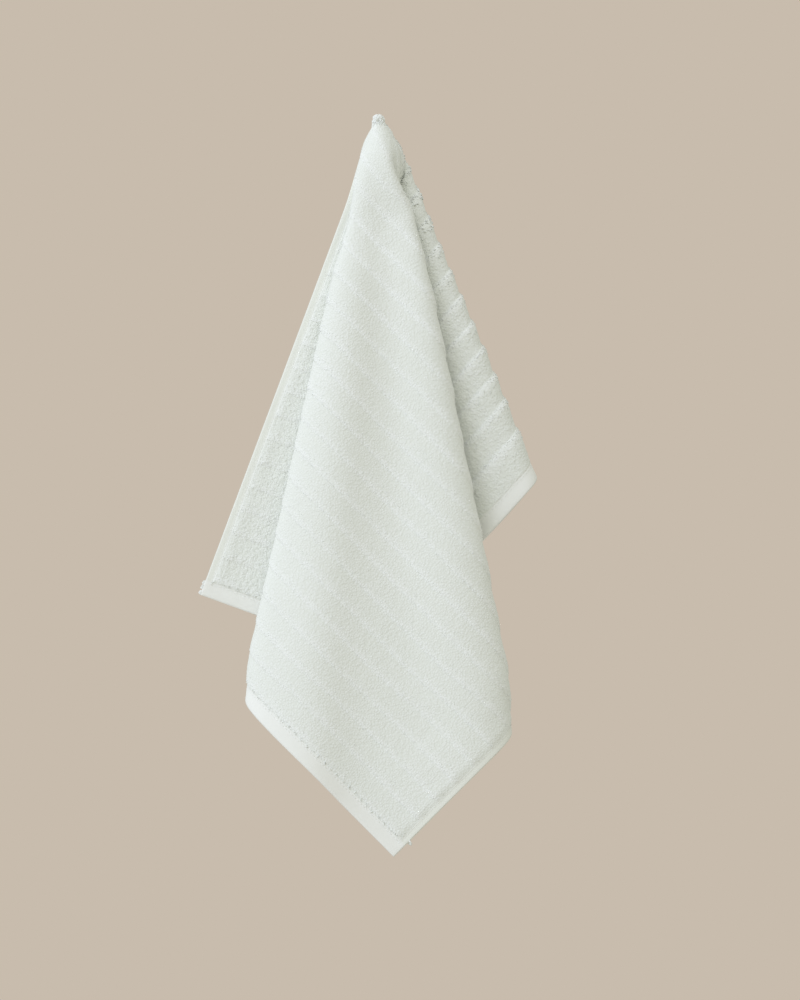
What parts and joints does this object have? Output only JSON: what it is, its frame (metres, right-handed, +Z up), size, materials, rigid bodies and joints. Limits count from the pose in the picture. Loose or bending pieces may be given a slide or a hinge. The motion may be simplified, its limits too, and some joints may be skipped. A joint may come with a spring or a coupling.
{
  "type": "hand towel",
  "caption": "White ribbed terry hand towel, hung by a point on its long edge and draping in soft folds to its corners.",
  "frame": {"origin": "the held point, on a long edge of the towel, at the top of the hanging cloth", "axes": "+Z up, against the hang; the viewer who faces the towel stands at -Y, so the cloth's back is towards +Y; +X to that viewer's right"},
  "size_m": [0.2528, 0.1188, 0.5514],
  "materials": {
    "white_terry": "matt cotton terry, sculpted in ribs"
  },
  "bodies": {
    "root": {"towel": "white_terry"}
  },
  "joints": []
}
